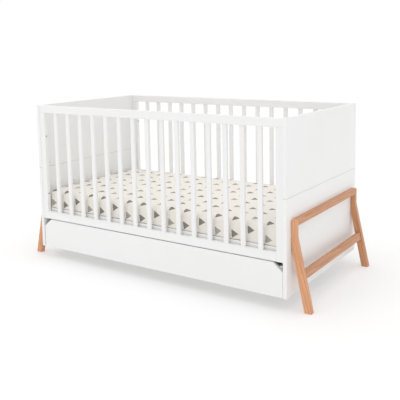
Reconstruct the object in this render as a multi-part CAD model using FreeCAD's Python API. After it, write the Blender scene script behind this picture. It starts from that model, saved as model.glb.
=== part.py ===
"""Cot bed for a 1400 x 700 mm mattress, with a full-width drawer under it.

Two white end walls, each an upper and a lower board joined by dowels, stand on bent
beech frames.  A front and a back side of rails, stiles and slats are bolted between
them.  A slatted base is bolted at the lowest of three levels and carries the mattress.
The drawer runs on a pair of roller runners fixed to the end walls.

Millimetres.  X runs along the cot, -Y is the front with the drawer, +Z is up, and the
origin is on the floor under the middle of the cot.  Each part of the right-hand end is
modelled at +X and mirrored for the left-hand end.
"""

import math
import os

import FreeCAD
import Part

V = FreeCAD.Vector
OUT = "parts"

# ---- driving dimensions -------------------------------------------------------------
LENGTH = 1450.0            # over the outer faces of the end walls
DEPTH = 766.0              # of the end walls, front edge to back edge
HEIGHT = 810.0             # floor to top rail
CLEARANCE = 60.0           # floor to the underside of the end walls and the drawer
BOARD = 18.0               # end wall and drawer front thickness
SEAM_Z = 482.0             # joint between the lower and the upper end board
SEAM_BEVEL = 1.2           # along both boards, which makes the seam show as a fine groove
BOARD_CORNER = 2.5         # rounding of the boards' upright edges
BOARD_EASE = 1.5           # rounding of the boards' other edges

SIDE_INSET = 4.0           # side rails behind the front edges of the end walls
SIDE_THICK = 20.0          # rails and stiles, front to back
RAIL_HIGH = 38.0
SIDE_BOTTOM = 212.0        # underside of the bottom rail
STILE_WIDE = 33.0
SLAT_COUNT = 15
SLAT_WIDE = 23.5
SLAT_THICK = 12.0
SLAT_PITCH = 85.4
TENON = 12.0               # slat ends housed in the rails
SLAT_EASE = 3.0
RAIL_ROUND = 4.0           # upper edges of the top rail
WOOD_EASE = 2.0            # rounding of every other edge that is handled

FRAME_SETBACK = 40.0       # beech frame behind the wall's front and back edges
LEG_DEEP = 25.0            # leg, front to back
LEG_TOP = 388.0
TOP_BAR_THICK = 23.0       # leg and top bar where they lie on the wall
TOP_BAR_HIGH = 28.0
KNEE_INNER_Z = 280.0       # where the leg's inner edge leaves the wall
KNEE_OUTER_Z = 315.0
FOOT_INNER = 60.0          # inner edge of the foot, out from the wall
FOOT_OUTER = 94.0
CROSS_BAR_Z = 152.0
CROSS_BAR_HIGH = 35.0
CROSS_BAR_THICK = 22.0
CROSS_BAR_EASE = 3.0
KNEE_ROUND = 90.0
LEG_CORNER = 3.0           # of the foot's outer edge and the leg's top

MATTRESS_LONG = 1400.0
MATTRESS_WIDE = 700.0
MATTRESS_THICK = 95.0
MATTRESS_CORNER = 12.0     # upright edges
MATTRESS_ROUND = 15.0      # top edges
BASE_TOP = 265.0
BASE_HIGH = 42.0
BASE_WIDE = 710.0
BASE_END_THICK = 18.0
BASE_RAIL_THICK = 15.0
BASE_LEDGE = 8.0           # width of the rebate that the base slats are glued into
BASE_SLAT_COUNT = 12
BASE_SLAT_WIDE = 60.0
BASE_SLAT_THICK = 9.0
LEVEL_STEP = 128.0         # between the three levels of the base
LEVEL_Y = 332.0

DRAWER_TOP = 208.0
DRAWER_GAP = 2.5           # drawer front to each end wall
GRIP_WIDE = 46.0           # cut-off top corners of the drawer front, for the fingers
GRIP_HIGH = 38.0
GRIP_ROUND = 4.0
DRAWER_WALL = 12.0
DRAWER_SIDE_LOW = 78.0
DRAWER_SIDE_TOP = 190.0
DRAWER_BACK_Y = 255.0
DRAWER_FLOOR_LOW = 86.0
DRAWER_FLOOR_THICK = 6.0
GROOVE = 6.0               # depth of the grooves that hold the drawer floor
CAM_R = 7.5
CAM_DEEP = 9.5
CAM_BACK = 26.0            # cam centre behind the drawer front
CAM_PIN_R = 2.5
CAM_PIN_IN = 10.0          # length of a pin in the drawer front
CAM_Z = (112.0, 168.0)
BACK_SCREW_Z = (120.0, 170.0)
BACK_SCREW_R = 2.0
BACK_SCREW_LONG = 45.0
SINK_R = 4.5
SINK_DEEP = 3.0

RUNNER_SPACE = 13.0        # between the drawer side and the end wall
RUNNER_SHEET = 1.2
RUNNER_LOW = 81.0
CHANNEL_HIGH = 20.0        # inside the fixed channel
FLANGE = 9.6
FIXED_RUNNER_Y = (-345.0, 265.0)
DRAWER_RUNNER_Y = (-355.0, 262.0)
LIP = 10.0                 # of the drawer runner, under the drawer side
TRACK = 10.5               # reach of its track, out over the fixed roller
TRACK_STOP = 3.0           # from the end of the track to the roller behind it
FIXED_SCREW_Y = (-290.0, -20.0, 225.0)
DRAWER_SCREW_Y = (-320.0, -60.0, 200.0)
FIXED_ROLLER_Y = -335.0
FIXED_ROLLER_R = 7.8
DRAWER_ROLLER_Y = 250.0
DRAWER_ROLLER_R = 8.8
ROLLER_WIDE = 6.5
ROLLER_SETOFF = 3.0        # from the drawer side to the rollers
ROLLER_RIM = 0.6
ROLLER_PLAY = 0.3          # between a roller and the flange it runs on
FIXED_ROLLER_LIFT = 0.5    # fixed roller above the channel's lower flange
AXLE_R = 2.5
AXLE_SHORT = 0.5           # axle ends, inside the edge of the flanges
AXLE_FIT = 0.05            # radial clearance of a roller on its axle

DOWEL_R = 4.0
SMALL_DOWEL_R = 3.0
DOWEL_HALF = 18.0          # of a dowel, in each of the two pieces it joins
SMALL_DOWEL_HALF = 16.0
STILE_DOWEL_X = (8.0, 25.0)          # in from the stile's inner face
RAIL_DOWEL_Z = (10.0, 28.0)          # up from the bottom rail's underside
BASE_DOWEL_Z = (8.0, 22.0)           # up from the base's underside
BAR_DOWEL_APART = 7.0      # each side of the top bar's middle
CROSS_DOWEL_APART = 9.0    # each side of the cross bar's middle
BOLT_R = 3.0               # M6 shank
BOLT_HOLE_R = 3.25
THREAD_R = 2.5             # M6 thread, at its root, and the bore of an insert
INSERT_R = 5.0
INSERT_LONG = 12.0
THREAD_SHORT = 1.0         # bolt end, inside the end of its insert
HEAD_R = 5.0
HEAD_HIGH = 6.0
HEAD_POCKET_R = 5.5
HEAD_POCKET = 7.0
KEY_FLATS = 5.0            # hexagon socket in a bolt head
KEY_DEEP = 3.0
FLAT_HEAD_R = 6.5
FLAT_HEAD_HIGH = 3.0
SCREW_R = 1.75             # of the runner screws
SCREW_HEAD_R = 3.2
SCREW_HEAD_HIGH = 0.8
FIXED_SCREW_LONG = 13.0
DRAWER_SCREW_LONG = 11.0
DRAWER_SCREW_RISE = 3.0    # above the drawer floor's groove
SIDE_BOLT_Z = (345.0, 648.0)
LEG_BOLT_Z = 310.0
BAR_BOLT_Y = 150.0
SEAM_DOWEL_Y = (-300.0, -100.0, 100.0, 300.0)

# ---- worked out from them -----------------------------------------------------------
WALL_OUT = LENGTH / 2
WALL_IN = WALL_OUT - BOARD
HALF_DEPTH = DEPTH / 2
SIDE_FRONT = -HALF_DEPTH + SIDE_INSET
SIDE_MID = SIDE_FRONT + SIDE_THICK / 2
SIDE_BACK = SIDE_FRONT + SIDE_THICK
STILE_IN = WALL_IN - STILE_WIDE
LEG_FRONT = -HALF_DEPTH + FRAME_SETBACK
LEG_MID = LEG_FRONT + LEG_DEEP / 2
LEG_BACK = LEG_FRONT + LEG_DEEP
BASE_LOW = BASE_TOP - BASE_HIGH
BASE_MID = BASE_TOP - BASE_HIGH / 2
LEVELS = [BASE_MID + LEVEL_STEP * n for n in range(3)]
BAR_MID_Z = LEG_TOP - TOP_BAR_HIGH / 2
DRAWER_FRONT_BACK = SIDE_FRONT + BOARD
DRAWER_OUT = WALL_IN - RUNNER_SPACE
CHANNEL_LOW = RUNNER_LOW + RUNNER_SHEET
FIXED_ROLLER_Z = CHANNEL_LOW + FIXED_ROLLER_LIFT + FIXED_ROLLER_R
DRAWER_ROLLER_Z = CHANNEL_LOW + ROLLER_PLAY + DRAWER_ROLLER_R
TRACK_LOW = FIXED_ROLLER_Z + FIXED_ROLLER_R + ROLLER_PLAY
ROLLER_IN = DRAWER_OUT + ROLLER_SETOFF


# ---- helpers ------------------------------------------------------------------------
def box(x0, x1, y0, y1, z0, z1):
    return Part.makeBox(x1 - x0, y1 - y0, z1 - z0, V(x0, y0, z0))


def rod(start, axis, radius, length):
    return Part.makeCylinder(radius, length, V(*start), V(*axis))


def runs_along(edge, axis):
    """True if a straight edge is parallel to the axis."""
    if not isinstance(edge.Curve, Part.Line):
        return False
    return abs(edge.tangentAt(edge.FirstParameter).dot(V(*axis))) > 0.999


def soften(shape, radius, axis, keep=lambda middle: True):
    """Rounds the straight edges along axis whose middle point passes keep."""
    edges = [e for e in shape.Edges if runs_along(e, axis) and keep(e.CenterOfMass)]
    return shape.makeFillet(radius, edges)


def outline(points, radii):
    """A closed wire in the XZ plane through the points, with each corner rounded by its radius."""
    corners = [V(x, 0, z) for x, z in points]
    edges, ends = [], []
    for i, corner in enumerate(corners):
        before = (corners[i - 1] - corner).normalize()
        after = (corners[(i + 1) % len(corners)] - corner).normalize()
        if not radii[i]:
            ends.append((corner, corner))
            continue
        half = before.getAngle(after) / 2
        back = radii[i] / math.tan(half)
        centre = corner + (before + after).normalize() * (radii[i] / math.sin(half))
        start, end = corner + before * back, corner + after * back
        middle = centre + (corner - centre).normalize() * radii[i]
        edges.append(Part.Arc(start, middle, end).toShape())
        ends.append((start, end))
    for i, (_, end) in enumerate(ends):
        start = ends[(i + 1) % len(ends)][0]
        edges.append(Part.LineSegment(end, start).toShape())
    return Part.Wire(Part.__sortEdges__(edges))


def extrude_y(wire, y0, y1):
    face = Part.Face(wire)
    face.translate(V(0, y0, 0))
    return face.extrude(V(0, y1 - y0, 0))


def mirrored_x(shape):
    return shape.mirror(V(0, 0, 0), V(1, 0, 0))


def mirrored_y(shape):
    return shape.mirror(V(0, 0, 0), V(0, 1, 0))


def both_ends(shapes):
    return shapes + [mirrored_x(s) for s in shapes]


def front_and_back(shapes):
    return shapes + [mirrored_y(s) for s in shapes]


def save(name, solids):
    solids = solids if isinstance(solids, list) else [solids]
    pieces = [s for shape in solids for s in shape.Solids]
    shape = pieces[0] if len(pieces) == 1 else Part.makeCompound(pieces)
    if not shape.isValid():
        raise ValueError(name + " is not a valid shape")
    shape.exportStep(os.path.join(OUT, name + ".step"))


def save_pair(name, shape):
    """The right-hand piece as it is modelled, and its mirror image at the left-hand end."""
    save("right_" + name, shape)
    save("left_" + name, mirrored_x(shape))


# ---- fasteners ----------------------------------------------------------------------
def insert(x, y, z):
    """Threaded sleeve let into a face at x, running outwards along +X."""
    sleeve = rod((x, y, z), (1, 0, 0), INSERT_R, INSERT_LONG)
    return sleeve.cut(rod((x, y, z), (1, 0, 0), THREAD_R, INSERT_LONG))


def insert_pocket(x, y, z):
    return rod((x, y, z), (1, 0, 0), INSERT_R, INSERT_LONG)


def hexagon_key_hole(x, y, z):
    corner = KEY_FLATS / math.sqrt(3)
    angles = [math.radians(60 * n) for n in range(7)]
    points = [V(x, y + corner * math.cos(a), z + corner * math.sin(a)) for a in angles]
    return Part.Face(Part.makePolygon(points)).extrude(V(KEY_DEEP, 0, 0))


def bolt(head, under_head_x, seat_x, y, z):
    """The head, with a shank along +X from under it and a thread that fills an insert."""
    shank = rod((under_head_x, y, z), (1, 0, 0), BOLT_R, seat_x - under_head_x)
    thread = rod((seat_x, y, z), (1, 0, 0), THREAD_R, INSERT_LONG - THREAD_SHORT)
    return head.fuse([shank, thread]).removeSplitter()


def socket_bolt(head_x, seat_x, y, z):
    """Bolt with a round head and a hexagon socket; the head starts at head_x."""
    head = rod((head_x, y, z), (1, 0, 0), HEAD_R, HEAD_HIGH).cut(hexagon_key_hole(head_x, y, z))
    return bolt(head, head_x + HEAD_HIGH, seat_x, y, z)


def flat_bolt(seat_face_x, seat_x, y, z):
    """Bolt with a thin flat head that lies on the face at seat_face_x."""
    head_x = seat_face_x - FLAT_HEAD_HIGH
    head = rod((head_x, y, z), (1, 0, 0), FLAT_HEAD_R, FLAT_HEAD_HIGH)
    return bolt(head, seat_face_x, seat_x, y, z)


def dowel(middle, axis, radius=DOWEL_R, half=DOWEL_HALF):
    """Dowel centred on the joint face between two pieces."""
    start = V(*middle) - V(*axis) * half
    return Part.makeCylinder(radius, 2 * half, start, V(*axis))


def side_bolt_places():
    return [(SIDE_MID, z) for z in SIDE_BOLT_Z]


def frame_bolt_places():
    return [(LEG_MID, LEG_BOLT_Z), (-BAR_BOLT_Y, BAR_MID_Z)]


def frame_pockets():
    """Pockets for the inserts in the right-hand beech frame."""
    return front_and_back([insert_pocket(WALL_OUT, y, z) for y, z in frame_bolt_places()])


def right_inserts():
    """Every insert at the right-hand end: sides, three base levels, and the beech frame."""
    wall = [insert(WALL_IN, y, z) for y, z in side_bolt_places()]
    wall += [insert(WALL_IN, -LEVEL_Y, z) for z in LEVELS]
    frame = [insert(WALL_OUT, y, z) for y, z in frame_bolt_places()]
    return front_and_back(wall + frame)


def right_side_bolts():
    head_x = STILE_IN + HEAD_POCKET - HEAD_HIGH
    bolts = [socket_bolt(head_x, WALL_IN, y, z) for y, z in side_bolt_places()]
    return front_and_back(bolts)


def right_flat_head_bolts():
    """Bolts out through the base's end bar, and out through the wall into the beech frame."""
    bolts = [flat_bolt(WALL_IN - BASE_END_THICK, WALL_IN, -LEVEL_Y, BASE_MID)]
    bolts += [flat_bolt(WALL_IN, WALL_OUT, y, z) for y, z in frame_bolt_places()]
    return front_and_back(bolts)


def screw(x, y, z, direction, length):
    """Thin-headed screw whose head lies on the face at x, driven along X in the direction."""
    head = rod((x, y, z), (-direction, 0, 0), SCREW_HEAD_R, SCREW_HEAD_HIGH)
    return head.fuse(rod((x, y, z), (direction, 0, 0), SCREW_R, length)).removeSplitter()


def right_seam_dowels():
    x = (WALL_IN + WALL_OUT) / 2
    return [dowel((x, y, SEAM_Z), (0, 0, 1)) for y in SEAM_DOWEL_Y]


def right_side_dowels():
    """Two dowels up into the top rail and two across into the bottom rail, at one stile."""
    top_z = HEIGHT - RAIL_HIGH
    top = [dowel((STILE_IN + x, SIDE_MID, top_z), (0, 0, 1)) for x in STILE_DOWEL_X]
    low = [dowel((STILE_IN, SIDE_MID, SIDE_BOTTOM + z), (1, 0, 0)) for z in RAIL_DOWEL_Z]
    return front_and_back(top + low)


def right_base_dowels():
    x = WALL_IN - BASE_END_THICK
    y = (BASE_WIDE - BASE_RAIL_THICK) / 2
    size = (SMALL_DOWEL_R, SMALL_DOWEL_HALF)
    dowels = [dowel((x, -y, BASE_LOW + z), (1, 0, 0), *size) for z in BASE_DOWEL_Z]
    return front_and_back(dowels)


def right_frame_dowels():
    x = WALL_OUT + TOP_BAR_THICK / 2
    size = (SMALL_DOWEL_R, SMALL_DOWEL_HALF)
    heights = [BAR_MID_Z - BAR_DOWEL_APART, BAR_MID_Z + BAR_DOWEL_APART]
    bar = [dowel((x, LEG_BACK, z), (0, 1, 0), *size) for z in heights]
    centre, lean = cross_bar_place()
    along = V(-math.sin(lean), 0, math.cos(lean)) * CROSS_DOWEL_APART
    spots = [centre + along, centre - along]
    cross = [dowel((p.x, LEG_BACK, p.z), (0, 1, 0), *size) for p in spots]
    return front_and_back(bar + cross)


# ---- end walls ----------------------------------------------------------------------
def wall_pockets():
    """Everything drilled into the right-hand end wall."""
    bolt_holes = [
        rod((WALL_IN, y, z), (1, 0, 0), BOLT_HOLE_R, BOARD) for y, z in frame_bolt_places()
    ]
    places = side_bolt_places() + [(-LEVEL_Y, z) for z in LEVELS]
    pockets = [insert_pocket(WALL_IN, y, z) for y, z in places]
    return front_and_back(bolt_holes + pockets) + right_seam_dowels()


def end_board(z0, z1):
    """A board of the right-hand end wall, its outer edges rounded and its seam edges bevelled."""
    board = box(WALL_IN, WALL_OUT, -HALF_DEPTH, HALF_DEPTH, z0, z1)
    board = soften(board, BOARD_CORNER, (0, 0, 1))
    seam = [e for e in board.Edges if abs(e.CenterOfMass.z - SEAM_Z) < 0.1]
    board = board.makeChamfer(SEAM_BEVEL, seam)
    free_z = z0 if z1 == SEAM_Z else z1
    free = [e for e in board.Edges if abs(e.CenterOfMass.z - free_z) < 0.1]
    board = board.makeFillet(BOARD_EASE, free)
    return board.cut(wall_pockets() + fixed_runner_screws())


# ---- beech frames -------------------------------------------------------------------
def leg_offset(z, knee_z, start, foot):
    """How far out from the wall an edge of the leg is, at a height below its knee."""
    return start + (foot - start) * (knee_z - z) / knee_z


def cross_bar_place():
    """Centre of the cross bar in the leg's thickness, and the leg's lean from upright."""
    inner = leg_offset(CROSS_BAR_Z, KNEE_INNER_Z, 0, FOOT_INNER)
    outer = leg_offset(CROSS_BAR_Z, KNEE_OUTER_Z, TOP_BAR_THICK, FOOT_OUTER)
    lean = math.atan2(FOOT_OUTER - TOP_BAR_THICK, KNEE_OUTER_Z)
    return V(WALL_OUT + (inner + outer) / 2, 0, CROSS_BAR_Z), lean


def leg():
    """Front leg of the right-hand frame: upright on the wall, then leaning out from the knee."""
    x = WALL_OUT
    points = [
        (x, LEG_TOP),
        (x, KNEE_INNER_Z),
        (x + FOOT_INNER, 0),
        (x + FOOT_OUTER, 0),
        (x + TOP_BAR_THICK, KNEE_OUTER_Z),
        (x + TOP_BAR_THICK, LEG_TOP),
    ]
    wire = outline(points, [0, KNEE_ROUND, WOOD_EASE, LEG_CORNER, KNEE_ROUND, LEG_CORNER])
    solid = extrude_y(wire, LEG_FRONT, LEG_BACK)
    front_edges = [e for e in solid.Edges if abs(e.CenterOfMass.y - LEG_FRONT) < 0.01]
    back_edges = [
        e
        for e in solid.Edges
        if abs(e.CenterOfMass.y - LEG_BACK) < 0.01 and e.CenterOfMass.z < KNEE_OUTER_Z
    ]
    solid = solid.makeFillet(WOOD_EASE, front_edges + back_edges)
    return solid.cut(right_frame_dowels() + frame_pockets())


def top_bar():
    x1 = WALL_OUT + TOP_BAR_THICK
    bar = box(WALL_OUT, x1, LEG_BACK, -LEG_BACK, LEG_TOP - TOP_BAR_HIGH, LEG_TOP)
    bar = soften(bar, WOOD_EASE, (0, 1, 0), lambda p: p.x > WALL_OUT + 1)
    return bar.cut(right_frame_dowels() + frame_pockets())


def cross_bar():
    centre, lean = cross_bar_place()
    thick, high = CROSS_BAR_THICK / 2, CROSS_BAR_HIGH / 2
    bar = box(-thick, thick, LEG_BACK, -LEG_BACK, -high, high)
    bar = soften(bar, CROSS_BAR_EASE, (0, 1, 0))
    bar.rotate(V(0, 0, 0), V(0, 1, 0), -math.degrees(lean))
    bar.translate(centre)
    return bar.cut(right_frame_dowels())


# ---- front and back sides -----------------------------------------------------------
def slat(number):
    x = (number - (SLAT_COUNT - 1) / 2) * SLAT_PITCH
    low = SIDE_BOTTOM + RAIL_HIGH - TENON
    high = HEIGHT - RAIL_HIGH + TENON
    y0, y1 = SIDE_MID - SLAT_THICK / 2, SIDE_MID + SLAT_THICK / 2
    piece = box(x - SLAT_WIDE / 2, x + SLAT_WIDE / 2, y0, y1, low, high)
    return soften(piece, SLAT_EASE, (0, 0, 1))


def top_rail(slats):
    rail = box(-WALL_IN, WALL_IN, SIDE_FRONT, SIDE_BACK, HEIGHT - RAIL_HIGH, HEIGHT)
    rail = soften(rail, RAIL_ROUND, (1, 0, 0), lambda p: p.z > HEIGHT - 1)
    rail = soften(rail, WOOD_EASE, (1, 0, 0), lambda p: p.z < HEIGHT - RAIL_HIGH + 1)
    return rail.cut(slats + both_ends(right_side_dowels()))


def bottom_rail(slats):
    rail = box(-STILE_IN, STILE_IN, SIDE_FRONT, SIDE_BACK, SIDE_BOTTOM, SIDE_BOTTOM + RAIL_HIGH)
    rail = soften(rail, WOOD_EASE, (1, 0, 0))
    return rail.cut(slats + both_ends(right_side_dowels()))


def stile():
    """Right-hand front stile, drilled for the bolts that hold the side to the end wall."""
    post = box(STILE_IN, WALL_IN, SIDE_FRONT, SIDE_BACK, SIDE_BOTTOM, HEIGHT - RAIL_HIGH)
    post = soften(post, WOOD_EASE, (0, 0, 1), lambda p: p.x < WALL_IN - 1)
    holes = [
        rod((STILE_IN, y, z), (1, 0, 0), BOLT_HOLE_R, STILE_WIDE) for y, z in side_bolt_places()
    ]
    heads = [
        rod((STILE_IN, y, z), (1, 0, 0), HEAD_POCKET_R, HEAD_POCKET)
        for y, z in side_bolt_places()
    ]
    return post.cut(holes + heads + right_side_dowels())


# ---- base and mattress --------------------------------------------------------------
def base_slats():
    pitch = 2 * (WALL_IN - BASE_END_THICK) / BASE_SLAT_COUNT
    half, y1 = BASE_SLAT_WIDE / 2, BASE_WIDE / 2 - BASE_RAIL_THICK + BASE_LEDGE
    slats = []
    for n in range(BASE_SLAT_COUNT):
        x = (n - (BASE_SLAT_COUNT - 1) / 2) * pitch
        piece = box(x - half, x + half, -y1, y1, BASE_TOP - BASE_SLAT_THICK, BASE_TOP)
        slats.append(soften(piece, WOOD_EASE, (0, 1, 0)))
    return slats


def base_rail():
    """Front long rail of the base, with the rebate that its slats lie in."""
    x1 = WALL_IN - BASE_END_THICK
    y0 = -BASE_WIDE / 2
    y1 = y0 + BASE_RAIL_THICK
    rail = box(-x1, x1, y0, y1, BASE_LOW, BASE_TOP)
    rebate = box(-x1, x1, y1 - BASE_LEDGE, y1, BASE_TOP - BASE_SLAT_THICK, BASE_TOP)
    rail = soften(rail.cut(rebate), WOOD_EASE, (1, 0, 0), lambda p: p.y < y0 + 1)
    return rail.cut(both_ends(right_base_dowels()))


def base_end_bar():
    x0 = WALL_IN - BASE_END_THICK
    bar = box(x0, WALL_IN, -BASE_WIDE / 2, BASE_WIDE / 2, BASE_LOW, BASE_TOP)
    bar = soften(bar, WOOD_EASE, (0, 0, 1), lambda p: p.x < WALL_IN - 1)
    holes = [rod((x0, -LEVEL_Y, BASE_MID), (1, 0, 0), BOLT_HOLE_R, BASE_END_THICK)]
    return bar.cut(front_and_back(holes) + right_base_dowels())


def mattress():
    x, y = MATTRESS_LONG / 2, MATTRESS_WIDE / 2
    pad = box(-x, x, -y, y, BASE_TOP, BASE_TOP + MATTRESS_THICK)
    pad = soften(pad, MATTRESS_CORNER, (0, 0, 1))
    top = [e for e in pad.Edges if abs(e.CenterOfMass.z - BASE_TOP - MATTRESS_THICK) < 0.1]
    return pad.makeFillet(MATTRESS_ROUND, top)


# ---- drawer -------------------------------------------------------------------------
def drawer_floor():
    x = DRAWER_OUT - DRAWER_WALL + GROOVE
    y0, y1 = DRAWER_FRONT_BACK - GROOVE, DRAWER_BACK_Y - DRAWER_WALL + GROOVE
    return box(-x, x, y0, y1, DRAWER_FLOOR_LOW, DRAWER_FLOOR_LOW + DRAWER_FLOOR_THICK)


def cam_pins():
    """Steel pins between the drawer front and the cams in its right-hand side."""
    x = DRAWER_OUT - DRAWER_WALL / 2
    y0 = DRAWER_FRONT_BACK - CAM_PIN_IN
    return [rod((x, y0, z), (0, 1, 0), CAM_PIN_R, CAM_PIN_IN + CAM_BACK) for z in CAM_Z]


def cams():
    """Cam discs let into the inner face of the right-hand drawer side."""
    x0 = DRAWER_OUT - DRAWER_WALL
    y = DRAWER_FRONT_BACK + CAM_BACK
    return [rod((x0, y, z), (1, 0, 0), CAM_R, CAM_DEEP) for z in CAM_Z]


def back_screws():
    """Countersunk screws through the right-hand drawer side into the end of the drawer back."""
    y = DRAWER_BACK_Y - DRAWER_WALL / 2
    screws = []
    for z in BACK_SCREW_Z:
        head = Part.makeCone(SINK_R, BACK_SCREW_R, SINK_DEEP, V(DRAWER_OUT, y, z), V(-1, 0, 0))
        shank = rod((DRAWER_OUT, y, z), (-1, 0, 0), BACK_SCREW_R, BACK_SCREW_LONG)
        screws.append(head.fuse(shank).removeSplitter())
    return screws


def drawer_cams():
    """The cams, with the pins that they draw in."""
    return both_ends(cams() + [pin.cut(cams()) for pin in cam_pins()])


def drawer_front():
    x = WALL_IN - DRAWER_GAP
    points = [
        (-x, CLEARANCE),
        (x, CLEARANCE),
        (x, DRAWER_TOP - GRIP_HIGH),
        (x - GRIP_WIDE, DRAWER_TOP),
        (-x + GRIP_WIDE, DRAWER_TOP),
        (-x, DRAWER_TOP - GRIP_HIGH),
    ]
    radii = [WOOD_EASE] * 2 + [GRIP_ROUND] * 4
    board = extrude_y(outline(points, radii), SIDE_FRONT, DRAWER_FRONT_BACK)
    faces_edges = [e for e in board.Edges if not runs_along(e, (0, 1, 0))]
    board = board.makeFillet(BOARD_EASE, faces_edges)
    return board.cut([drawer_floor()] + both_ends(cam_pins()))


def drawer_side():
    side = box(
        DRAWER_OUT - DRAWER_WALL,
        DRAWER_OUT,
        DRAWER_FRONT_BACK,
        DRAWER_BACK_Y,
        DRAWER_SIDE_LOW,
        DRAWER_SIDE_TOP,
    )
    side = soften(side, WOOD_EASE, (0, 1, 0), lambda p: p.z > DRAWER_SIDE_TOP - 1)
    fittings = cam_pins() + cams() + back_screws() + drawer_runner_screws()
    return side.cut([drawer_floor()] + fittings)


def drawer_back():
    x = DRAWER_OUT - DRAWER_WALL
    y0 = DRAWER_BACK_Y - DRAWER_WALL
    back = box(-x, x, y0, DRAWER_BACK_Y, DRAWER_SIDE_LOW, DRAWER_SIDE_TOP)
    back = soften(back, WOOD_EASE, (1, 0, 0), lambda p: p.z > DRAWER_SIDE_TOP - 1)
    return back.cut([drawer_floor()] + both_ends(back_screws()))


# ---- roller runners -----------------------------------------------------------------
def fixed_runner_screws():
    """Screws out through the right-hand channel's web into the end wall."""
    x = WALL_IN - RUNNER_SHEET
    return [screw(x, y, FIXED_ROLLER_Z, 1, FIXED_SCREW_LONG) for y in FIXED_SCREW_Y]


def drawer_runner_screws():
    """Screws in through the right-hand drawer runner into the drawer side, above its groove."""
    x = DRAWER_OUT + RUNNER_SHEET
    z = DRAWER_FLOOR_LOW + DRAWER_FLOOR_THICK + DRAWER_SCREW_RISE
    return [screw(x, y, z, -1, DRAWER_SCREW_LONG) for y in DRAWER_SCREW_Y]


def fixed_runner():
    """Steel channel on the end wall, open towards the drawer, with the front roller's axle."""
    y0, y1 = FIXED_RUNNER_Y
    web_x = WALL_IN - RUNNER_SHEET
    high = CHANNEL_HIGH + 2 * RUNNER_SHEET
    channel = box(web_x - FLANGE, WALL_IN, y0, y1, RUNNER_LOW, RUNNER_LOW + high)
    hollow = box(web_x - FLANGE, web_x, y0, y1, CHANNEL_LOW, CHANNEL_LOW + CHANNEL_HIGH)
    axle = rod((web_x, FIXED_ROLLER_Y, FIXED_ROLLER_Z), (-1, 0, 0), AXLE_R, FLANGE - AXLE_SHORT)
    return channel.cut(hollow).fuse(axle).removeSplitter().cut(fixed_runner_screws())


def drawer_runner():
    """Steel angle on the drawer side: a lip under it, a track over the fixed roller, an axle."""
    y0, y1 = DRAWER_RUNNER_Y
    x = DRAWER_OUT
    track_top = TRACK_LOW + RUNNER_SHEET
    web = box(x, x + RUNNER_SHEET, y0, y1, DRAWER_SIDE_LOW - RUNNER_SHEET, track_top)
    lip_y1 = DRAWER_BACK_Y
    lip = box(x - LIP, x, y0, lip_y1, DRAWER_SIDE_LOW - RUNNER_SHEET, DRAWER_SIDE_LOW)
    track_y1 = DRAWER_ROLLER_Y - DRAWER_ROLLER_R - TRACK_STOP
    track = box(x + RUNNER_SHEET, x + TRACK, y0, track_y1, TRACK_LOW, track_top)
    axle_from = (x + RUNNER_SHEET, DRAWER_ROLLER_Y, DRAWER_ROLLER_Z)
    axle = rod(axle_from, (1, 0, 0), AXLE_R, FLANGE - AXLE_SHORT)
    return web.fuse([lip, track, axle]).removeSplitter().cut(drawer_runner_screws())


def roller(y, z, radius):
    """Nylon roller on an axle along X."""
    wheel = rod((ROLLER_IN, y, z), (1, 0, 0), radius, ROLLER_WIDE)
    rims = [e for e in wheel.Edges if isinstance(e.Curve, Part.Circle)]
    wheel = wheel.makeFillet(ROLLER_RIM, rims)
    return wheel.cut(rod((ROLLER_IN, y, z), (1, 0, 0), AXLE_R + AXLE_FIT, ROLLER_WIDE))


# ---- build --------------------------------------------------------------------------
def main():
    os.makedirs("parts", exist_ok=True)

    save_pair("lower_end_board", end_board(CLEARANCE, SEAM_Z))
    save_pair("upper_end_board", end_board(SEAM_Z, HEIGHT))

    front_leg = leg()
    save_pair("front_leg", front_leg)
    save_pair("back_leg", mirrored_y(front_leg))
    save_pair("frame_top_bar", top_bar())
    save_pair("frame_cross_bar", cross_bar())

    slats = [slat(n) for n in range(SLAT_COUNT)]
    rails = {"top_rail": top_rail(slats), "bottom_rail": bottom_rail(slats)}
    for name, rail in rails.items():
        save("front_" + name, rail)
        save("back_" + name, mirrored_y(rail))
    save_pair("front_stile", stile())
    save_pair("back_stile", mirrored_y(stile()))
    for n, piece in enumerate(slats):
        save("front_slat_%02d" % (n + 1), piece)
    save("back_slats", [mirrored_y(piece) for piece in slats])

    save("base_rails", front_and_back([base_rail()]))
    save("base_end_bars", both_ends([base_end_bar()]))
    save("base_slats", base_slats())
    save("mattress", mattress())

    save("drawer_front", drawer_front())
    save("drawer_back", drawer_back())
    save("drawer_floor", drawer_floor())
    save_pair("drawer_side", drawer_side())
    save_pair("fixed_runner", fixed_runner())
    save_pair("drawer_runner", drawer_runner())
    save_pair("fixed_roller", roller(FIXED_ROLLER_Y, FIXED_ROLLER_Z, FIXED_ROLLER_R))
    save_pair("drawer_roller", roller(DRAWER_ROLLER_Y, DRAWER_ROLLER_Z, DRAWER_ROLLER_R))

    save("side_bolts", both_ends(right_side_bolts()))
    save("flat_head_bolts", both_ends(right_flat_head_bolts()))
    save("threaded_inserts", both_ends(right_inserts()))
    dowels = right_seam_dowels() + right_side_dowels() + right_base_dowels()
    save("wood_dowels", both_ends(dowels + right_frame_dowels()))
    save("runner_screws", both_ends(fixed_runner_screws()))
    save("drawer_cams", drawer_cams())
    save("drawer_screws", both_ends(drawer_runner_screws() + back_screws()))


main()
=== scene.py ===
"""Looks of the crib: white lacquered boards and slats, warm brown end frames, and a mattress
in a printed fitted sheet.

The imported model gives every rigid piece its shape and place.  This script gives each of
them a material, and replaces the plain mattress by a padded core and the sheet over it.
Metres throughout.
"""

import bpy
import math
import numpy as np
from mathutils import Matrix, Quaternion, Vector
from mathutils.bvhtree import BVHTree


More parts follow.
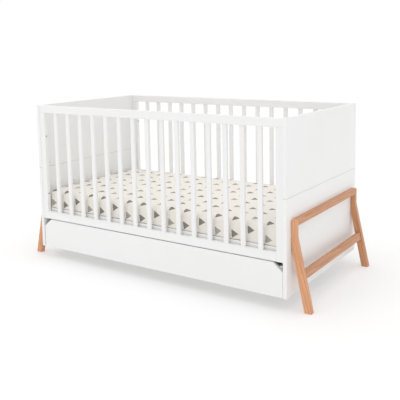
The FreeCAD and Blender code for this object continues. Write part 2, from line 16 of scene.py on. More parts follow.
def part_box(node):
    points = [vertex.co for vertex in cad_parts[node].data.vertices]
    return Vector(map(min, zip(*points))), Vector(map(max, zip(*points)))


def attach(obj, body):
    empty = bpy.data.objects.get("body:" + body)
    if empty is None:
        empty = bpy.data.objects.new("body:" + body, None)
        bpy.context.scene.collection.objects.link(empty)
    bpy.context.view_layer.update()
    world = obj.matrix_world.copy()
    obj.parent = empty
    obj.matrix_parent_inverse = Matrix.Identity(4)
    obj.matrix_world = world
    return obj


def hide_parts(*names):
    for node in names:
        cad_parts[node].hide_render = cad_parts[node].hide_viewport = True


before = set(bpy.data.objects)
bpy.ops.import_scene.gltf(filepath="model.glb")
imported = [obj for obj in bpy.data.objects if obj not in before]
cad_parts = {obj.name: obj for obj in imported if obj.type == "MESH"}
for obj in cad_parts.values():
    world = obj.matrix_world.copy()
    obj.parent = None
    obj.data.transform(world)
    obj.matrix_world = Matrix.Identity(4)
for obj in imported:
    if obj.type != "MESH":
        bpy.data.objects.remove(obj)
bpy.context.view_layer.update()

# ---- camera, light and floor --------------------------------------------------------
CAMERA_AT = Vector((1.8736, -2.6461, 1.0993))
CAMERA_LOOKS = Vector((-0.5390, 0.8345, -0.1144))
CAMERA_ROLL = -0.86        # degrees
FIELD_OF_VIEW = 34.78      # degrees, across the picture
SHIFT_ACROSS = -0.05
SHIFT_UP = -0.20

HORIZON_LIGHT = 1.03       # strength of the surroundings, low down,
MIDDLE_LIGHT = 0.64        # half way up
ZENITH_LIGHT = 1.56        # and overhead
KEY_LIGHT = 10.0           # watts
KEY_AT = Vector((-1.6, -3.4, 3.1))
KEY_AIM = Vector((0, 0, 0.4))
KEY_SIZE = 3.2
FLOOR_GLOW = 0.27          # lit from below, as a studio's acrylic table is
FLOOR_HALF = 12.0

# ---- colours, linear ----------------------------------------------------------------
LACQUER = (0.90, 0.90, 0.898)
SEAM_SHADE = (0.68, 0.68, 0.675)
FRAME_LIGHT = (0.84, 0.455, 0.265)
FRAME_DARK = (0.58, 0.25, 0.11)
PINE_LIGHT = (0.74, 0.57, 0.37)
PINE_DARK = (0.55, 0.36, 0.19)
SHEET_GROUND = (0.88, 0.84, 0.775)
PRINT_DARK = (0.135, 0.125, 0.112)
PRINT_PALE = (0.31, 0.295, 0.27)

FRAME_TONE_AND_SHADE = {            # painted shade: lower factors darken the back legs and bars, whose outer faces lie in shade; a little is the wood's own variation
    "left_front_leg": 0.97,
    "left_back_leg": 0.90,
    "left_frame_top_bar": 0.82,
    "left_frame_cross_bar": 0.85,
    "right_front_leg": 1.0,
    "right_back_leg": 0.84,
    "right_frame_top_bar": 0.86,
    "right_frame_cross_bar": 0.80,
}

# ---- the end walls and frames -------------------------------------------------------
SEAM_Z = 0.482             # joint between an end wall's two boards
KNEE_Z = 0.297             # where the legs start to lean
LEG_SLOPE = 0.22           # outward lean for each metre down

# ---- mattress -----------------------------------------------------------------------
CORNER_ROUND = 0.018       # in plan
EDGE_ROUND = 0.026         # along the top edge
FOOT_ROUND = 0.004         # along the bottom edge
EDGE_STEPS = 6
SIDE_STEPS = 12
FOOT_STEPS = 4
CORE_LIFT = 0.0022         # core above the slats, which leaves room for the sheet and its hem
CORE_INSET = 0.0030        # core inside the sheet's outline, before it swells
CORE_EASE = 0.002          # further inset of its sides, and what its top may rise
CORE_SWELL = 0.0045        # furthest that the simulation may move a point
CORE_VOXEL = 0.010
CORE_STRAIGHT = (40, 20)   # steps along its long and short sides
CORE_CORNER = 8            # steps round each corner
CLOTH_FRAMES = 20
QUILT_STEP = 0.11          # spacing of the quilting's grooves
QUILT_DEPTH = 0.0016
QUILT_WIDTH = 0.009

# ---- sheet --------------------------------------------------------------------------
SHEET_GAP = 0.0012         # sheet's middle off the core
SHEET_THICK = 0.0008
SHEET_FOOT = 0.001         # its height above the slats
SHEET_PROUD = 0.0025       # furthest that it stands out past the mattress's nominal sides
SHEET_SLACK = 0.0015       # furthest that it sinks in from its nominal shape
SHEET_STRAIGHT = (110, 56) # steps along its long and short sides
SHEET_CORNER = 12          # steps round each corner
MIDDLE_HALF = 0.002        # half the width of the strip that closes the middle of its top
TOP_RINGS = 18             # rows of faces on its top
WRAP = 0.095               # turned in under the mattress
WRAP_RINGS = 9
PLEAT_HIGH = 0.0011        # standing pleats down its sides, near the corners
PLEAT_SPREAD = 0.16
WAVE_HIGH = 0.0009         # slack waves along its sides
PULL_HIGH = 0.0007         # creases on its top, fanning out from the corners
PULL_SPREAD = 0.20
TUCK_HIGH = 0.0002         # gathers underneath
SEAM_RADIUS = 0.0011
SEAM_PROUD = 0.0004
HEM_RADIUS = 0.0075
HEM_FLAT = 0.13            # its height for each part of its width
HEM_LIFT = 0.0012          # its middle above the slats
HEM_SWAY = (0.0022, 0.0014)
PRINT_COLUMN = 0.0857      # spacing of the printed shapes
PRINT_ROW = 0.080
PRINT_START = (0.0206, -0.0250)
PRINT_LIFT = 0.0275        # of every third column
PRINT_TURN = 0.003         # below the top, where the print starts to run down the sides
PRINT_JOG = 0.06           # wander of a shape, for each part of the spacing
PRINT_SPIN = 0.22          # and how far it may turn
PRINT_SIZE = 0.0113        # inner radius of a printed triangle
PRINT_BLEED = 0.004        # unevenness of its edge
THREAD = 0.0011            # spacing of the weave


# ---- materials ----------------------------------------------------------------------
class Nodes:
    """A node tree under construction.  Most methods add a node and return its output."""

    def __init__(self, tree):
        self.tree = tree

    def feed(self, socket, value):
        if isinstance(value, bpy.types.NodeSocket):
            self.tree.links.new(value, socket)
        elif hasattr(value, "__len__") and socket.type == "RGBA":
            socket.default_value = (*value[:3], 1)
        else:
            socket.default_value = value

    def add(self, kind, inputs=(), output=0, **settings):
        node = self.tree.nodes.new("ShaderNode" + kind)
        for key, value in settings.items():
            setattr(node, key, value)
        for key, value in dict(inputs).items():
            self.feed(node.inputs[key], value)
        return node.outputs[output]

    def math(self, operation, *values):
        return self.add("Math", enumerate(values), operation=operation)

    def vector(self, operation, *values):
        return self.add("VectorMath", enumerate(values), operation=operation)

    def place(self):
        return self.add("TexCoord", output="Object")

    def split(self, vector):
        node = self.tree.nodes.new("ShaderNodeSeparateXYZ")
        self.feed(node.inputs[0], vector)
        return node.outputs

    def join(self, x, y, z):
        return self.add("CombineXYZ", enumerate((x, y, z)))

    def noise(self, vector, scale, detail=2.0, roughness=0.5):
        inputs = {"Vector": vector, "Scale": scale, "Detail": detail, "Roughness": roughness}
        return self.add("TexNoise", inputs)

    def span(self, value, low, high, to_low=0.0, to_high=1.0):
        """value from low..high mapped on to to_low..to_high, and held at the ends."""
        return self.add("MapRange", enumerate((value, low, high, to_low, to_high)))

    def blend(self, factor, a, b):
        return self.add("Mix", {0: factor, 6: a, 7: b}, output=2, data_type="RGBA")


class Surface(Nodes):
    def __init__(self, name):
        self.material = bpy.data.materials.new(name)
        self.material.use_nodes = True
        super().__init__(self.material.node_tree)
        self.shader = self.tree.nodes["Principled BSDF"]

    def bump(self, height, distance, strength=1.0, below=None):
        inputs = {"Height": height, "Distance": distance, "Strength": strength}
        if below is not None:
            inputs["Normal"] = below
        return self.add("Bump", inputs)

    def finish(self, **values):
        names = {
            "colour": "Base Color",
            "roughness": "Roughness",
            "normal": "Normal",
            "metallic": "Metallic",
            "sheen": "Sheen Weight",
            "sheen_roughness": "Sheen Roughness",
            "coat": "Coat Weight",
            "coat_roughness": "Coat Roughness",
            "specular": "Specular IOR Level",
            "glow": "Emission Color",
            "glow_strength": "Emission Strength",
        }
        for key, value in values.items():
            self.feed(self.shader.inputs[names[key]], value)
        return self.material


def along(s, axis, x, y, z):
    """A place with the piece's length last, for grain that runs along it."""
    return s.join(*{"x": (y, z, x), "y": (x, z, y), "z": (x, y, z)}[axis])


def lacquer_board():
    """Sprayed satin lacquer on a smooth board, with a fine line along the end walls' joint."""
    s = Surface("lacquer_board")
    place = s.place()
    cloud = s.noise(place, 3.0, 3.0)
    peel = s.noise(place, 520.0, 1.5)
    ripple = s.noise(place, 60.0, 2.0)
    tint = s.blend(s.span(cloud, 0.3, 0.7), LACQUER, (0.88, 0.88, 0.876))
    off_joint = s.math("ABSOLUTE", s.math("SUBTRACT", s.split(place)[2], SEAM_Z))
    tint = s.blend(s.span(off_joint, 0.0008, 0.0016), SEAM_SHADE, tint)
    rough = s.span(s.noise(place, 22.0, 4.0), 0.3, 0.7, 0.34, 0.46)
    normal = s.bump(peel, 0.00006, 0.5, s.bump(ripple, 0.00015, 0.5))
    return s.finish(colour=tint, roughness=rough, normal=normal, specular=0.45)


def lacquer_wood(axis):
    """The same lacquer over planed solid wood, whose grain shows faintly as relief."""
    s = Surface("lacquer_wood_" + axis)
    place = along(s, axis, *s.split(s.place()))
    stretched = s.vector("MULTIPLY", place, (1, 1, 0.03))
    grain = s.noise(stretched, 420.0, 4.0, 0.6)
    cloud = s.noise(stretched, 40.0, 2.0)
    tint = s.blend(s.span(cloud, 0.3, 0.7), LACQUER, (0.875, 0.875, 0.869))
    rough = s.span(grain, 0.3, 0.7, 0.36, 0.50)
    normal = s.bump(grain, 0.00010, 0.6)
    return s.finish(colour=tint, roughness=rough, normal=normal, specular=0.45)


def wood(name, axis, light, dark, seed, lean=0):
    """Open-grained planed wood.  lean is the side, -1 or 1, of a leg that bends outwards."""
    s = Surface(name)
    x, y, z = s.split(s.place())
    if lean:
        drop = s.math("MAXIMUM", s.math("SUBTRACT", KNEE_Z, z), 0.0)
        x = s.math("SUBTRACT", x, s.math("MULTIPLY", drop, lean * LEG_SLOPE))
    place = along(s, axis, x, y, z)
    place = s.vector("ADD", place, (0.37 * seed, 0.53 * seed, 1.9 * seed))
    long = s.vector("MULTIPLY", place, (1, 1, 0.045))
    rings = s.add(
        "TexWave",
        {"Vector": long, "Scale": 34.0, "Distortion": 9.0, "Detail": 3.0, "Detail Scale": 1.4},
        wave_type="BANDS",
        bands_direction="DIAGONAL",
        wave_profile="SAW",
    )
    broad = s.noise(long, 26.0, 3.0, 0.55)
    fibre = s.noise(s.vector("MULTIPLY", place, (1, 1, 0.02)), 900.0, 3.0, 0.65)
    pores = s.noise(s.vector("MULTIPLY", place, (1, 1, 0.06)), 620.0, 1.0)
    pores = s.span(pores, 0.66, 0.74)
    tone = s.math("ADD", s.math("MULTIPLY", rings, 0.38), s.math("MULTIPLY", broad, 0.62))
    colour = s.blend(s.span(tone, 0.22, 0.72), dark, light)
    deep = tuple(0.55 * c for c in dark)
    colour = s.blend(s.span(fibre, 0.38, 0.7, 0.30, 0.0), colour, dark)
    colour = s.blend(s.math("MULTIPLY", pores, 0.55), colour, deep)
    relief = s.math("SUBTRACT", s.math("ADD", fibre, s.math("MULTIPLY", rings, 0.3)), pores)
    rough = s.span(s.math("ADD", fibre, pores), 0.3, 1.1, 0.48, 0.68)
    normal = s.bump(relief, 0.00012, 0.7)
    return s.finish(
        colour=colour,
        roughness=rough,
        normal=normal,
        specular=0.2,
        coat=0.35,
        coat_roughness=0.38,
    )


def hardboard():
    """White film on hardboard, with the faint emboss of its press."""
    s = Surface("hardboard_film")
    place = s.place()
    emboss = s.noise(place, 800.0, 2.0)
    tint = s.blend(s.noise(place, 5.0, 3.0), (0.80, 0.80, 0.79), (0.84, 0.84, 0.83))
    normal = s.bump(emboss, 0.00005, 0.6)
    return s.finish(colour=tint, roughness=0.42, normal=normal)


def zinc(name):
    """Bright zinc plate with the fine scratches of tumbling."""
    s = Surface(name)
    place = s.place()
    scratches = s.noise(s.vector("MULTIPLY", place, (1, 1, 0.08)), 1500.0, 3.0)
    blotch = s.noise(place, 260.0, 2.0)
    tint = s.blend(s.span(blotch, 0.35, 0.65), (0.52, 0.53, 0.55), (0.66, 0.66, 0.65))
    rough = s.span(scratches, 0.3, 0.7, 0.22, 0.42)
    normal = s.bump(scratches, 0.00003, 0.5)
    return s.finish(colour=tint, roughness=rough, normal=normal, metallic=1.0)


def powder_coat():
    """White powder coat on the runners and the flat bolt heads, with its leathery texture."""
    s = Surface("powder_coat")
    place = s.place()
    texture = s.noise(place, 1300.0, 2.0)
    tint = s.blend(s.noise(place, 30.0, 3.0), (0.80, 0.80, 0.80), (0.86, 0.86, 0.86))
    normal = s.bump(texture, 0.00006, 0.7)
    return s.finish(colour=tint, roughness=0.33, normal=normal, specular=0.5)


def nylon():
    """Moulded nylon, a little waxy, with faint turning marks round the axle."""
    s = Surface("nylon_roller")
    place = s.place()
    marks = s.noise(s.vector("MULTIPLY", place, (1, 0.2, 0.2)), 2600.0, 1.0)
    tint = s.blend(s.noise(place, 90.0, 2.0), (0.72, 0.72, 0.69), (0.80, 0.80, 0.77))
    normal = s.bump(marks, 0.00003, 0.6)
    return s.finish(colour=tint, roughness=0.45, normal=normal)


def cloth_place(s):
    """Places on the flat cloth: it runs over the top and on down the sides without a break."""
    x, y, z = s.split(s.place())
    nx, ny, _ = s.split(s.add("NewGeometry", output="Normal"))
    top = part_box("mattress")[1].z - PRINT_TURN
    down = s.math("MAXIMUM", s.math("SUBTRACT", top, z), 0.0)
    on_end = s.math("GREATER_THAN", s.math("ABSOLUTE", nx), s.math("ABSOLUTE", ny))
    not_end = s.math("SUBTRACT", 1.0, on_end)
    over_x = s.math("MULTIPLY", s.math("MULTIPLY", s.math("SIGN", x), down), on_end)
    over_y = s.math("MULTIPLY", s.math("MULTIPLY", s.math("SIGN", y), down), not_end)
    return s.math("ADD", x, over_x), s.math("ADD", y, over_y)


def printed_triangles(s, u, v):
    """How much of the print covers a place, and whether it is one of the paler shapes."""
    u, v = s.math("ADD", u, PRINT_START[0]), s.math("ADD", v, PRINT_START[1])
    column = s.math("FLOOR", s.math("DIVIDE", u, PRINT_COLUMN))
    third = s.math("COMPARE", s.math("FLOORED_MODULO", column, 3.0), 0.0, 0.5)
    lift = s.math("MULTIPLY", third, PRINT_LIFT)
    rise = s.math("DIVIDE", s.math("SUBTRACT", v, lift), PRINT_ROW)
    row = s.math("FLOOR", rise)
    cell = s.join(column, row, 0.0)
    pale = s.math("FLOORED_MODULO", s.math("ADD", column, row), 3.0)
    pale = s.math("COMPARE", pale, 1.0, 0.5)
    wander = s.add("TexWhiteNoise", {"Vector": cell}, output="Color", noise_dimensions="3D")
    jog_u, jog_v, turn = s.split(s.vector("SUBTRACT", wander, (0.5, 0.5, 0.5)))
    du = s.math("SUBTRACT", s.math("FRACT", s.math("DIVIDE", u, PRINT_COLUMN)), 0.5)
    dv = s.math("SUBTRACT", s.math("FRACT", rise), 0.5)
    du = s.math("ADD", du, s.math("MULTIPLY", jog_u, PRINT_JOG))
    dv = s.math("ADD", dv, s.math("MULTIPLY", jog_v, PRINT_JOG))
    du, dv = s.math("MULTIPLY", du, PRINT_COLUMN), s.math("MULTIPLY", dv, PRINT_ROW)
    wobble = s.noise(s.join(u, v, 0.0), 130.0, 2.0)
    angle = s.math("MULTIPLY", turn, PRINT_SPIN)
    local = s.add("VectorRotate", {"Vector": s.join(du, dv, 0.0), "Angle": angle})
    lx, ly, _ = s.split(local)
    ly = s.math("MULTIPLY", s.math("ABSOLUTE", ly), math.sin(math.radians(60)))
    slant = s.math("ADD", s.math("MULTIPLY", lx, math.cos(math.radians(60))), ly)
    reach = s.math("SMOOTH_MAX", slant, s.math("MULTIPLY", lx, -1.0), PRINT_SIZE * 0.7)
    uneven = s.math("MULTIPLY", s.math("SUBTRACT", wobble, 0.5), PRINT_BLEED)
    edge = s.math("ADD", reach, uneven)
    return s.span(edge, PRINT_SIZE - 0.0004, PRINT_SIZE + 0.0006, 1.0, 0.0), pale


def sheet_cloth():
    """Plain-woven cream cotton with a scattered print of rounded triangles."""
    s = Surface("printed_cotton")
    u, v = cloth_place(s)
    cover, pale = printed_triangles(s, u, v)
    warp, weft = (s.math("SINE", s.math("MULTIPLY", a, 2 * math.pi / THREAD)) for a in (u, v))
    weave = s.math("MULTIPLY", warp, weft)
    slub = s.noise(s.join(s.math("MULTIPLY", u, 0.15), v, 0.0), 900.0, 2.0)
    shaded = tuple(0.94 * c for c in SHEET_GROUND)
    ground = s.blend(s.span(slub, 0.35, 0.65), SHEET_GROUND, shaded)
    thin = s.span(s.noise(s.join(u, v, 0.0), 700.0, 2.0), 0.35, 0.7, 0.0, 0.35)
    ink = s.blend(thin, s.blend(pale, PRINT_DARK, PRINT_PALE), ground)
    colour = s.blend(cover, ground, ink)
    relief = s.math("ADD", s.math("MULTIPLY", weave, 0.5), slub)
    normal = s.bump(relief, 0.00010, 0.6)
    return s.finish(
        colour=colour,
        roughness=0.85,
        normal=normal,
        sheen=0.25,
        sheen_roughness=0.4,
        specular=0.2,
    )


def plain_cotton(name, tint, rib):
    """Unprinted cotton for the hem and the seams.  rib is the spacing of its ribs."""
    s = Surface(name)
    place = s.place()
    x, y, z = s.split(place)
    run = s.math("ADD", s.math("ADD", x, y), z)
    ribs = s.math("SINE", s.math("MULTIPLY", run, 2 * math.pi / rib))
    lint = s.noise(place, 900.0, 3.0)
    colour = s.blend(s.span(lint, 0.3, 0.7), tint, tuple(0.9 * c for c in tint))
    normal = s.bump(s.math("ADD", ribs, lint), 0.00015, 0.5)
    return s.finish(colour=colour, roughness=0.9, normal=normal, sheen=0.3)


def ticking():
    """White knitted ticking of the mattress itself."""
    s = Surface("mattress_ticking")
    place = s.place()
    x, y, z = s.split(place)
    loops = s.math("SINE", s.math("MULTIPLY", x, 2 * math.pi / 0.0016))
    courses = s.math("SINE", s.math("MULTIPLY", s.math("ADD", y, z), 2 * math.pi / 0.0012))
    lint = s.noise(place, 500.0, 3.0)
    colour = s.blend(s.span(lint, 0.3, 0.7), (0.80, 0.80, 0.78), (0.74, 0.74, 0.72))
    relief = s.math("ADD", s.math("MULTIPLY", loops, courses), lint)
    normal = s.bump(relief, 0.00018, 0.6)
    return s.finish(colour=colour, roughness=0.9, normal=normal, sheen=0.35)


def dress(names, material):
    """Gives CAD nodes a material in place of the plain one that they came with."""
    for name in names:
        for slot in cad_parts[name].material_slots:
            slot.material = material


def named(*words, without=()):
    """The CAD nodes whose names hold every word and none of those in without."""
    return [
        n
        for n in sorted(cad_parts)
        if all(w in n for w in words) and not any(w in n for w in without)
    ]


def dress_frame():
    """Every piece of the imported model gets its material."""
    board = lacquer_board()
    dress(named("end_board") + named("drawer_front"), board)
    dress(named("drawer_side") + named("drawer_back"), board)
    dress(named("_rail", without=("base",)), lacquer_wood("x"))
    dress(named("base_rails"), lacquer_wood("x"))
    dress(named("stile") + named("slat", without=("base",)), lacquer_wood("z"))
    dress(named("base_end_bars"), lacquer_wood("y"))
    dress(named("base_slats"), wood("pine_slat", "y", PINE_LIGHT, PINE_DARK, 3))
    dress(named("drawer_floor"), hardboard())
    # each piece's factor darkens its whole colour, which paints shade on the back legs and bars
    for seed, (name, tone) in enumerate(sorted(FRAME_TONE_AND_SHADE.items())):
        light, dark = (tuple(tone * c for c in colour) for colour in (FRAME_LIGHT, FRAME_DARK))
        axis, lean = "y", 0
        if name.endswith("leg"):
            axis, lean = "z", -1 if name.startswith("left") else 1
        dress([name], wood("frame_" + name, axis, light, dark, seed + 1, lean))
    dress(named("dowels"), wood("dowel", "z", PINE_LIGHT, PINE_DARK, 12))
    white_steel = powder_coat()
    dress(named("runner", without=("screws",)), white_steel)
    dress(named("flat_head_bolts"), white_steel)
    dress(named("roller"), nylon())
    bright = named("side_bolts") + named("screws") + named("cams") + named("inserts")
    dress(bright, zinc("zinc_plate"))


# ---- meshes -------------------------------------------------------------------------
def new_object(name, points, faces, material):
    """A smooth mesh object in the scene, with one material."""
    mesh = bpy.data.meshes.new(name)
    mesh.from_pydata([tuple(p) for p in points], [], faces)
    mesh.validate()
    mesh.update()
    mesh.shade_smooth()
    mesh.materials.append(material)
    thing = bpy.data.objects.new(name, mesh)
    bpy.context.scene.collection.objects.link(thing)
    return thing


def rounded_ring(half_x, half_y, radius, z, straight, corner):
    """Points round a rounded rectangle, with the same count on it whatever its size."""
    radius = max(radius, 1e-4)
    ring = []
    turns = ((1, 1), (-1, 1), (-1, -1), (1, -1))
    for quarter, (sx, sy) in enumerate(turns):
        centre = Vector((sx * (half_x - radius), sy * (half_y - radius), z))
        for n in range(corner + 1):
            angle = math.radians(90 * (quarter + n / corner))
            ring.append(centre + radius * Vector((math.cos(angle), math.sin(angle), 0)))
        nx, ny = turns[(quarter + 1) % 4]
        after = Vector((nx * (half_x - radius), ny * (half_y - radius), z))
        angle = math.radians(90 * (quarter + 1))
        start = ring[-1]
        end = after + radius * Vector((math.cos(angle), math.sin(angle), 0))
        steps = straight[quarter % 2]
        ring += [start.lerp(end, n / steps) for n in range(1, steps)]
    return ring


def ring_faces(rings, count, closed=False):
    """Faces between rings of count points each.  closed joins the last ring to the first."""
    faces = []
    for k in range(rings if closed else rings - 1):
        a, b = k * count, (k + 1) % rings * count
        for n in range(count):
            m = (n + 1) % count
            faces.append((a + n, a + m, b + m, b + n))
    return faces


def tube(name, line, radius, material, closed=False, flat=1.0, sides=8):
    """A round or flattened tube along a line of points.  Its ends are closed unless it loops."""
    points = []
    for n, here in enumerate(line):
        before = line[n - 1] if n or closed else here
        after = line[(n + 1) % len(line)] if closed or n + 1 < len(line) else here
        ahead = (after - before).normalized()
        side = ahead.cross(Vector((0, 0, 1)))
        side = side.normalized() if side.length > 0.1 else Vector((ahead.z, 0, -ahead.x))
        up = side.cross(ahead)
        for k in range(sides):
            angle = 2 * math.pi * k / sides
            across = side * radius * math.cos(angle)
            points.append(here + across + up * radius * flat * math.sin(angle))
    faces = ring_faces(len(line), sides, closed)
    if not closed:
        faces.append(tuple(range(sides - 1, -1, -1)))
        faces.append(tuple(range(len(points) - sides, len(points))))
    return new_object(name, points, faces, material)


def coordinates(thing):
    """Places of a mesh's points, one row for each."""
    flat = np.zeros(len(thing.data.vertices) * 3)
    thing.data.vertices.foreach_get("co", flat)
    return flat.reshape(-1, 3)


def set_coordinates(thing, places):
    thing.data.vertices.foreach_set("co", places.ravel())
    thing.data.update()


def apply_modifiers(thing):
    """Replaces a mesh by what its modifiers make of it."""
    bpy.context.view_layer.update()
    shaped = thing.evaluated_get(bpy.context.evaluated_depsgraph_get())
    done = bpy.data.meshes.new_from_object(shaped)
    thing.modifiers.clear()
    thing.data = done


# ---- mattress -----------------------------------------------------------------------
def profile(edge, foot, height, inset, lift):
    """(inset, height) down the mattress's side, from the top's edge to the underside's edge."""
    points = []
    for n in range(EDGE_STEPS + 1):
        angle = math.radians(90 * n / EDGE_STEPS)
        drop = edge * (1 - math.cos(angle))
        points.append((inset + edge * (1 - math.sin(angle)), height - drop))
    side = height - edge - foot - lift
    for n in range(1, SIDE_STEPS):
        points.append((inset, height - edge - side * n / SIDE_STEPS))
    for n in range(FOOT_STEPS + 1):
        angle = math.radians(90 * n / FOOT_STEPS)
        rise = foot * (1 - math.sin(angle))
        points.append((inset + foot * (1 - math.cos(angle)), lift + rise))
    return points


def swollen_core():
    """The foam core in its ticking: a rounded block swollen by cloth pressure, flat below."""
    low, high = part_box("mattress")
    height = high.z - low.z - CORE_INSET
    rings = []
    for inset, z in profile(EDGE_ROUND, FOOT_ROUND, height, CORE_EASE, CORE_LIFT):
        x, y = (half - CORE_INSET - inset for half in (high.x, high.y))
        radius = CORNER_ROUND - inset
        rings.append(rounded_ring(x, y, radius, low.z + z, CORE_STRAIGHT, CORE_CORNER))
    count = len(rings[0])
    faces = ring_faces(len(rings), count)
    faces.append(tuple(range(count - 1, -1, -1)))
    faces.append(tuple(range((len(rings) - 1) * count, len(rings) * count)))
    material = ticking()
    core = new_object("mattress_core", [p for ring in rings for p in ring], faces, material)
    remesh = core.modifiers.new("remesh", "REMESH")
    remesh.mode = "VOXEL"
    remesh.voxel_size = CORE_VOXEL
    remesh.use_smooth_shade = True
    apply_modifiers(core)
    swell(core)
    quilt(core)
    smooth = core.modifiers.new("smooth", "SUBSURF")
    smooth.levels = smooth.render_levels = 1
    apply_modifiers(core)
    core.data.shade_smooth()
    core.data.materials.clear()
    core.data.materials.append(material)
    keep_inside(core)
    return core


def swell(core):
    """Cloth pressure from inside, with each point's travel capped."""
    before = coordinates(core)
    cloth = core.modifiers.new("cloth", "CLOTH")
    cloth.settings.use_pressure = True
    cloth.settings.uniform_pressure_force = 4.0
    cloth.settings.tension_stiffness = 25
    cloth.settings.compression_stiffness = 25
    cloth.settings.shear_stiffness = 15
    cloth.settings.effector_weights.gravity = 0.0
    cloth.point_cache.frame_start = 1
    cloth.point_cache.frame_end = CLOTH_FRAMES
    for number in range(1, CLOTH_FRAMES + 1):
        bpy.context.scene.frame_set(number)
    apply_modifiers(core)
    moved = coordinates(core) - before
    length = np.linalg.norm(moved, axis=1, keepdims=True)
    moved *= np.minimum(1.0, CORE_SWELL / np.maximum(length, 1e-9))
    set_coordinates(core, before + moved)
    bpy.context.scene.frame_set(1)


def quilt(core):
    """Diamond quilting pressed into the top and bottom of the ticking."""
    places = coordinates(core)
    normals = np.array([v.normal[:] for v in core.data.vertices])
    a = (places[:, 0] + places[:, 1]) / QUILT_STEP
    b = (places[:, 0] - places[:, 1]) / QUILT_STEP
    groove = np.minimum(abs(a - np.round(a)), abs(b - np.round(b))) * QUILT_STEP
    level = abs(normals[:, 2]) > 0.8
    depth = QUILT_DEPTH * np.exp(-((groove / QUILT_WIDTH) ** 2)) * level
    set_coordinates(core, places - normals * depth[:, None])


def keep_inside(core):
    """Holds the core inside the sheet, and flat where it lies on the slats."""
    low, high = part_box("mattress")
    places = coordinates(core)
    limit = np.array([high.x, high.y]) - CORE_INSET
    places[:, :2] = np.clip(places[:, :2], -limit, limit)
    places[:, 2] = np.clip(places[:, 2], low.z + CORE_LIFT, high.z + CORE_EASE)
    set_coordinates(core, places)


def sheet_rings():
    """Points of the sheet's nominal shape, ring by ring from the middle of the top to its hem."""
    low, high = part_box("mattress")
    height = high.z - low.z
    edge = profile(EDGE_ROUND, FOOT_ROUND, height, 0.0, SHEET_FOOT)
    middle, first, last = high.y - MIDDLE_HALF, edge[0][0], edge[-1][0]
    top = [(middle + (first - middle) * n / TOP_RINGS, height) for n in range(TOP_RINGS)]
    steps = range(1, WRAP_RINGS + 1)
    wrap = [(last + (WRAP - last) * n / WRAP_RINGS, SHEET_FOOT) for n in steps]
    rings = []
    for inset, z in top + edge + wrap:
        x, y, radius = high.x - inset, high.y - inset, CORNER_ROUND - inset
        rings.append(rounded_ring(x, y, radius, low.z + z, SHEET_STRAIGHT, SHEET_CORNER))
    return rings


def laid_on(core, points, normals):
    """Points moved along their normals on to the core, but never far in from where they were."""
    tree = BVHTree.FromObject(core, bpy.context.evaluated_depsgraph_get())
    above, reach = 0.02, 0.05
    laid = points.copy()
    for n, (place, normal) in enumerate(zip(points, normals)):
        place, out = Vector(place), Vector(normal)
        hit = tree.ray_cast(place + out * above, -out, reach)[0]
        if hit is not None:
            stand = (hit - place).dot(out) + SHEET_GAP
            laid[n] = place + out * max(stand, -SHEET_SLACK)
    return laid


def fitted_sheet(core):
    """The sheet on the core, with the lines of its corners' seams and of its hem."""
    low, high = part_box("mattress")
    nominal = sheet_rings()
    rings, count = len(nominal), len(nominal[0])
    points = np.array([p[:] for ring in nominal for p in ring])
    faces = [face[::-1] for face in ring_faces(rings, count) + middle_faces(count)]
    sheet = new_object("fitted_sheet", points, faces, sheet_cloth())
    normals = np.array([v.normal[:] for v in sheet.data.vertices])
    laid = evened(laid_on(core, points, normals), rings, count)
    laid += normals * sheet_folds(laid, rings, count)[:, None]
    laid[:, 2] = np.maximum(laid[:, 2], low.z + SHEET_FOOT)
    limit = np.array([high.x, high.y]) + SHEET_PROUD
    laid[:, :2] = np.clip(laid[:, :2], -limit, limit)
    set_coordinates(sheet, laid)
    thick = sheet.modifiers.new("thickness", "SOLIDIFY")
    thick.thickness = SHEET_THICK
    thick.offset = 0.0
    apply_modifiers(sheet)
    sheet.data.shade_smooth()
    hem_line = [Vector(p) for p in laid[-count:]]
    return sheet, corner_lines(laid + normals * SEAM_PROUD, rings, count), hem_line


def evened(places, rings, count):
    """Each point moved half way to the mean of its neighbours, twice: cloth bridges small dips."""
    grid = places.reshape(rings, count, 3).copy()
    for _ in range(2):
        round_about = (np.roll(grid, 1, axis=1) + np.roll(grid, -1, axis=1)) / 2
        grid[1:-1] = grid[1:-1] / 2 + round_about[1:-1] / 2
    return grid.reshape(-1, 3)


def middle_faces(count):
    """Faces between the two long sides of the innermost ring, which close the sheet's middle."""
    long, short = SHEET_STRAIGHT
    mirror = count - short
    faces = []
    for a in range(-(short // 2), mirror // 2):
        corners = [(mirror - a) % count, (mirror - a - 1) % count, (a + 1) % count, a % count]
        faces.append(tuple(dict.fromkeys(corners)))
    return faces


def sheet_folds(places, rings, count):
    """How far the cloth stands off: pulls at its corners, and waves down its sides to the hem."""
    low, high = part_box("mattress")
    x, y, z = places.T
    ring = np.repeat(np.arange(rings), count)
    around = np.tile(np.arange(count), rings) * (2 * math.pi / count)
    in_x, in_y = high.x - abs(x), high.y - abs(y)
    corner = np.hypot(in_x, in_y)
    down = np.clip((high.z - z) / (high.z - low.z), 0, 1)
    pleats = 1 + np.sin(74 * around + 0.8 * np.sin(9 * around))
    waves = 1 + np.sin(23 * around + 2.0 * np.sin(5 * around))
    pulls = 1 + np.sin(95 * corner + 5 * np.arctan2(in_y, in_x))
    on_top = ring < TOP_RINGS
    under = np.clip((ring - rings + WRAP_RINGS) / WRAP_RINGS, 0, 1)
    on_side = ~on_top & (under == 0)
    pleats_here = PLEAT_HIGH * pleats * np.exp(-((corner / PLEAT_SPREAD) ** 2))
    pulls_here = PULL_HIGH * pulls * np.exp(-((corner / PULL_SPREAD) ** 2))
    folds = on_side * down * (pleats_here + WAVE_HIGH * waves)
    return folds + on_top * pulls_here + under * TUCK_HIGH * pleats


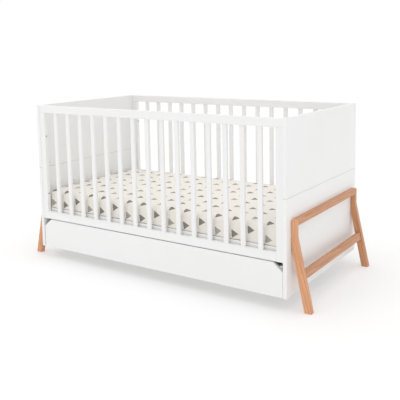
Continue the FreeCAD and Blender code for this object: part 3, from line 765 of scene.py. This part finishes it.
def corner_lines(places, rings, count):
    """Lines down the four corners, where the sheet's corner darts are sewn."""
    grid = places.reshape(rings, count, 3)
    long, short = SHEET_STRAIGHT
    starts = np.cumsum([0] + [SHEET_CORNER + side for side in (long, short, long)])
    middles = [start + SHEET_CORNER // 2 for start in starts]
    return [[Vector(grid[k, n]) for k in range(TOP_RINGS, rings)] for n in middles]


def gathered(line):
    """The hem's line drawn into small gathers by its elastic."""
    made = []
    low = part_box("mattress")[0].z
    for n, point in enumerate(line):
        inward = Vector((-point.x, -point.y, 0)).normalized()
        sway = HEM_SWAY[0] * math.sin(1.9 * n) + HEM_SWAY[1] * math.sin(0.7 * n)
        place = point + inward * sway
        made.append(Vector((place.x, place.y, low + HEM_LIFT)))
    return made


def make_mattress():
    """The padded core and the fitted sheet over it, in place of the plain mattress."""
    core = swollen_core()
    sheet, corners, hem_line = fitted_sheet(core)
    thread = plain_cotton("seam_cotton", tuple(0.95 * c for c in SHEET_GROUND), 0.0024)
    elastic = plain_cotton("hem_elastic", tuple(0.97 * c for c in SHEET_GROUND), 0.0045)
    trim = [
        tube("corner_seam_%d" % (n + 1), line, SEAM_RADIUS, thread)
        for n, line in enumerate(corners)
    ]
    hem = gathered(hem_line)
    trim.append(tube("sheet_hem", hem, HEM_RADIUS, elastic, closed=True, flat=HEM_FLAT, sides=10))
    for piece in [core, sheet] + trim:
        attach(piece, "mattress")
    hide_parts("mattress")


# ---- stage --------------------------------------------------------------------------
def make_floor():
    """A pale floor that glows faintly."""
    s = Surface("floor_paper")
    tint = s.blend(s.noise(s.place(), 0.8, 2.0), (0.69, 0.69, 0.69), (0.71, 0.71, 0.71))
    material = s.finish(
        colour=tint,
        roughness=0.9,
        specular=0.1,
        glow=(1, 1, 1),
        glow_strength=FLOOR_GLOW,
    )
    signs = ((-1, -1), (1, -1), (1, 1), (-1, 1))
    corners = [(x * FLOOR_HALF, y * FLOOR_HALF, 0) for x, y in signs]
    floor = new_object("floor", corners, [(0, 1, 2, 3)], material)


def make_surroundings():
    """A white tent round the studio: bright low down and overhead, dimmer between."""
    world = bpy.data.worlds.new("studio")
    world.use_nodes = True
    s = Nodes(world.node_tree)
    height = s.split(s.add("TexCoord", output="Generated"))[2]
    low = s.span(height, 0.12, 0.35, HORIZON_LIGHT, MIDDLE_LIGHT)
    high = s.span(height, 0.55, 0.95, 0.0, ZENITH_LIGHT - MIDDLE_LIGHT)
    background = s.tree.nodes["Background"]
    background.inputs["Color"].default_value = (1, 1, 1, 1)
    s.feed(background.inputs["Strength"], s.math("ADD", low, high))
    return world


def make_light():
    """The surroundings, and a large weak lamp at the front left."""
    bpy.context.scene.world = make_surroundings()
    key = bpy.data.lights.new("key", "AREA")
    key.shape = "DISK"
    key.size = KEY_SIZE
    key.energy = KEY_LIGHT
    lamp = bpy.data.objects.new("key", key)
    lamp.location = KEY_AT
    lamp.rotation_mode = "QUATERNION"
    lamp.rotation_quaternion = (KEY_AIM - KEY_AT).to_track_quat("-Z", "Y")
    bpy.context.scene.collection.objects.link(lamp)
    bpy.context.scene.view_settings.view_transform = "Standard"


def make_camera():
    """A camera above the right front corner."""
    data = bpy.data.cameras.new("camera")
    data.sensor_width = 36.0
    data.angle = math.radians(FIELD_OF_VIEW)
    data.shift_x = SHIFT_ACROSS
    data.shift_y = SHIFT_UP
    camera = bpy.data.objects.new("camera", data)
    camera.location = CAMERA_AT
    camera.rotation_mode = "QUATERNION"
    level = CAMERA_LOOKS.to_track_quat("-Z", "Y")
    camera.rotation_quaternion = level @ Quaternion((0, 0, 1), math.radians(CAMERA_ROLL))
    bpy.context.scene.collection.objects.link(camera)
    bpy.context.scene.camera = camera


dress_frame()
make_mattress()
make_floor()
make_light()
make_camera()
